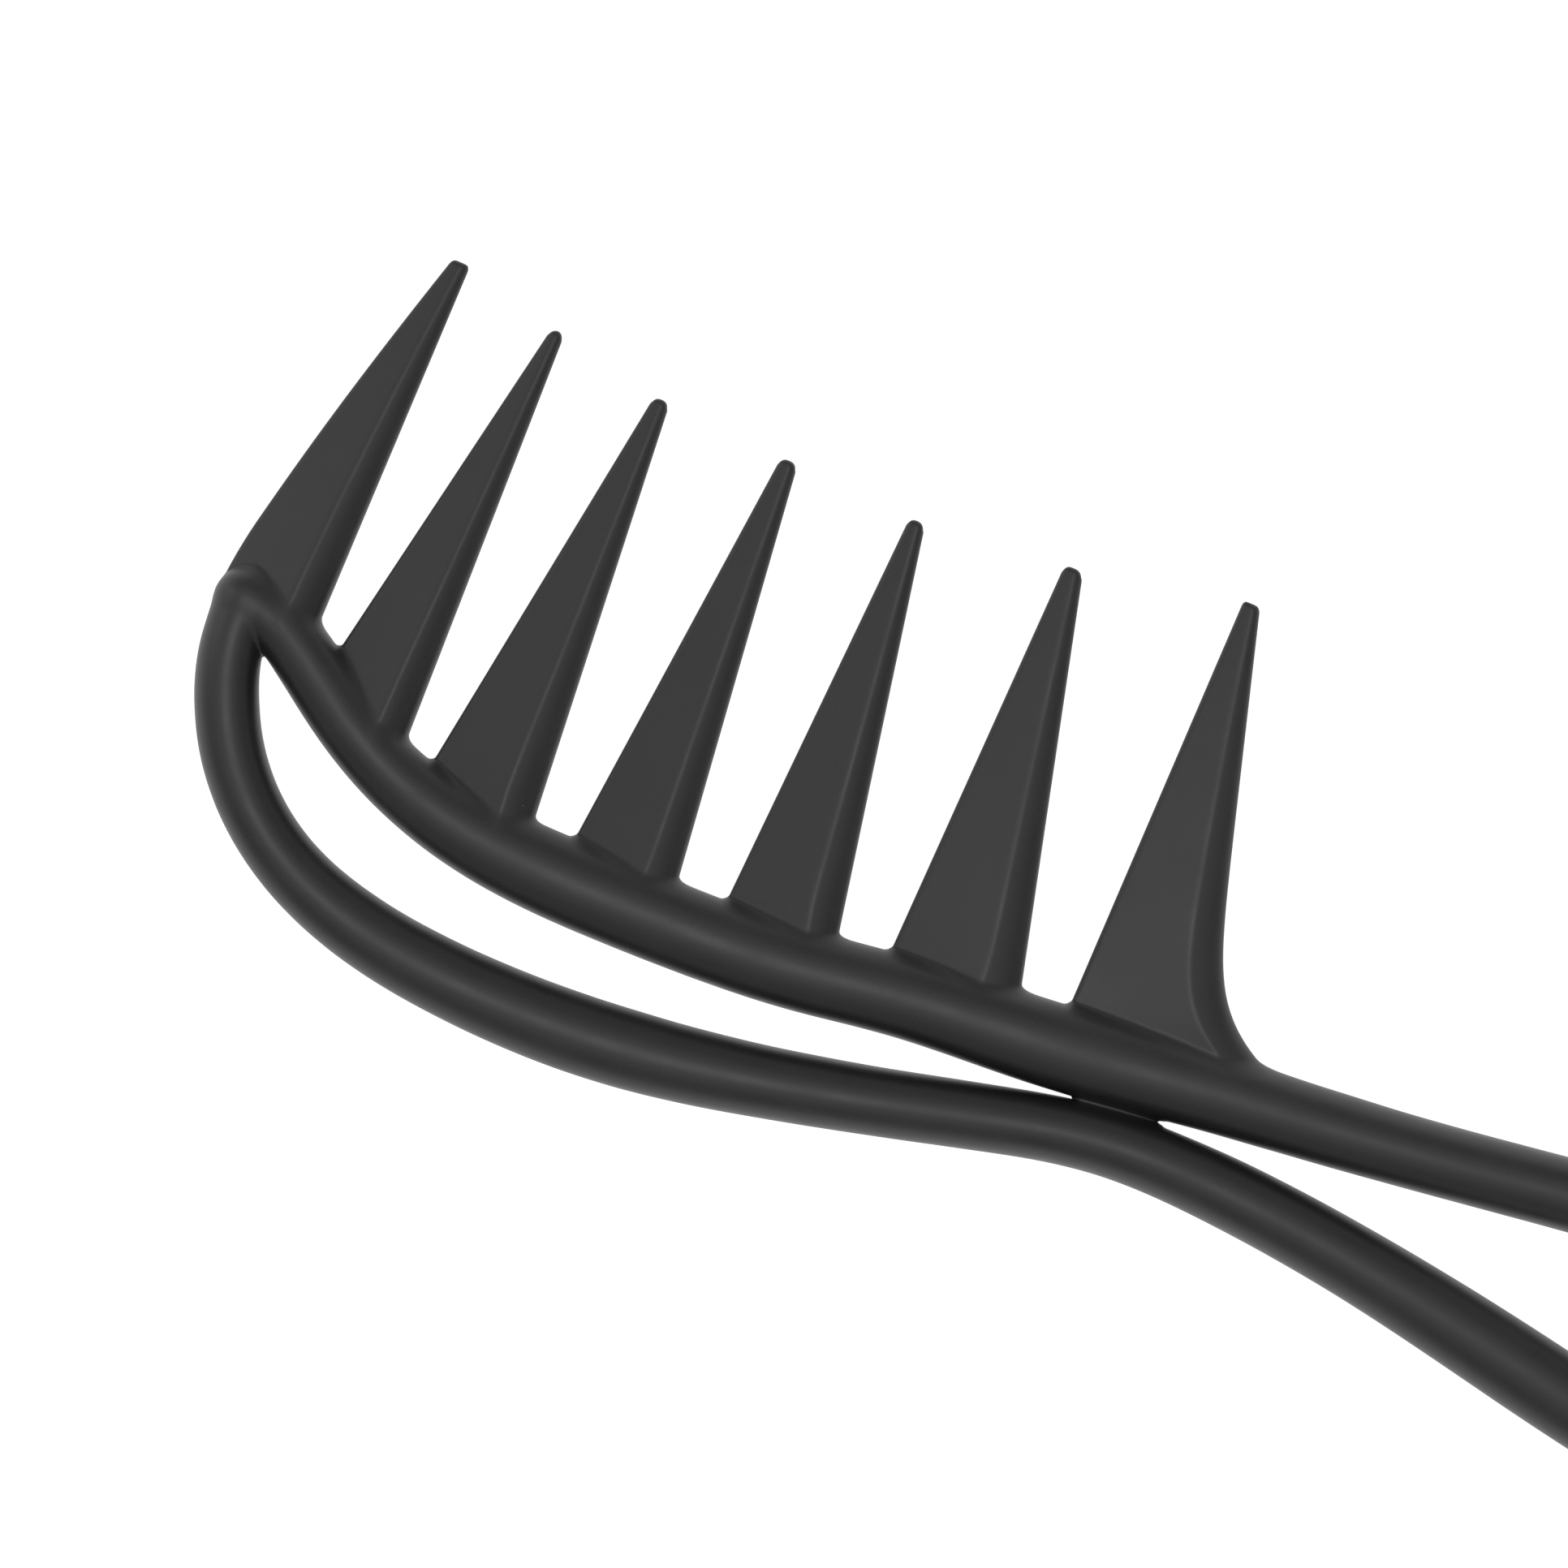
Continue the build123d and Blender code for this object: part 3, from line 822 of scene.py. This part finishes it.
def white_table():
    """A plain white surface under the comb, which glows enough to leave no shadow."""
    material = bpy.data.materials.new("white_table")
    material.use_nodes = True
    shader = material.node_tree.nodes["Principled BSDF"]
    shader.inputs["Base Color"].default_value = (TABLE_SHADE, TABLE_SHADE, TABLE_SHADE, 1)
    shader.inputs["Roughness"].default_value = 1.0
    shader.inputs["Emission Color"].default_value = (1, 1, 1, 1)
    shader.inputs["Emission Strength"].default_value = TABLE_GLOW
    mesh = bpy.data.meshes.new("white_table")
    reach, level = TABLE_SIZE / 2, low_corner[2] * MM
    around = [(-reach, -reach, level), (reach, -reach, level), (reach, reach, level), (-reach, reach, level)]
    mesh.from_pydata(around, [], [(0, 1, 2, 3)])
    mesh.materials.append(material)
    table = bpy.data.objects.new(mesh.name, mesh)
    bpy.context.scene.collection.objects.link(table)
    return table


white_table()

middle = Vector((low_corner + (high_corner - low_corner) * (VIEW_SHARE, 0.5, 0.5)) * MM)


def soft_room():
    """Light from all round: bright from above and from near the level of the table, less between."""
    world = bpy.data.worlds.new("soft_room")
    world.use_nodes = True
    nodes, links = world.node_tree.nodes, world.node_tree.links
    direction = nodes.new("ShaderNodeSeparateXYZ")
    links.new(nodes.new("ShaderNodeTexCoord").outputs["Generated"], direction.inputs["Vector"])
    shares = (
        (OVERHEAD_EDGE, (0.0, OVERHEAD_LIGHT - SLANTING_LIGHT)),
        (LEVEL_EDGE, (LEVEL_LIGHT, SLANTING_LIGHT)),
    )
    total = nodes.new("ShaderNodeMath")
    for socket, (edge, light) in zip(total.inputs, shares):
        share = nodes.new("ShaderNodeMapRange")
        share.interpolation_type = "SMOOTHSTEP"
        for name, value in zip(("From Min", "From Max", "To Min", "To Max"), (*edge, *light)):
            share.inputs[name].default_value = value
        links.new(direction.outputs["Z"], share.inputs["Value"])
        links.new(share.outputs["Result"], socket)
    background = nodes["Background"]
    background.inputs["Color"].default_value = ROOM_COLOUR
    links.new(total.outputs["Value"], background.inputs["Strength"])
    return world


bpy.context.scene.world = soft_room()

for name, offset, size, watts in LAMPS:
    light = bpy.data.lights.new(name, "AREA")
    light.shape = "DISK"
    light.size = size
    light.energy = watts
    lamp = bpy.data.objects.new(name, light)
    lamp.location = middle + Vector(offset)
    lamp.rotation_euler = (middle - lamp.location).to_track_quat("-Z", "Y").to_euler()
    bpy.context.scene.collection.objects.link(lamp)

lens = bpy.data.cameras.new("camera")
lens.lens = LENS
lens.sensor_width = SENSOR
lens.clip_start = 0.01
camera = bpy.data.objects.new("camera", lens)
camera.location = middle + Vector((0, 0, VIEW_WIDTH * LENS / SENSOR))
camera.rotation_euler = (0, 0, radians(VIEW_TURN))
bpy.context.scene.collection.objects.link(camera)
bpy.context.scene.camera = camera
bpy.context.scene.view_settings.view_transform = "Standard"
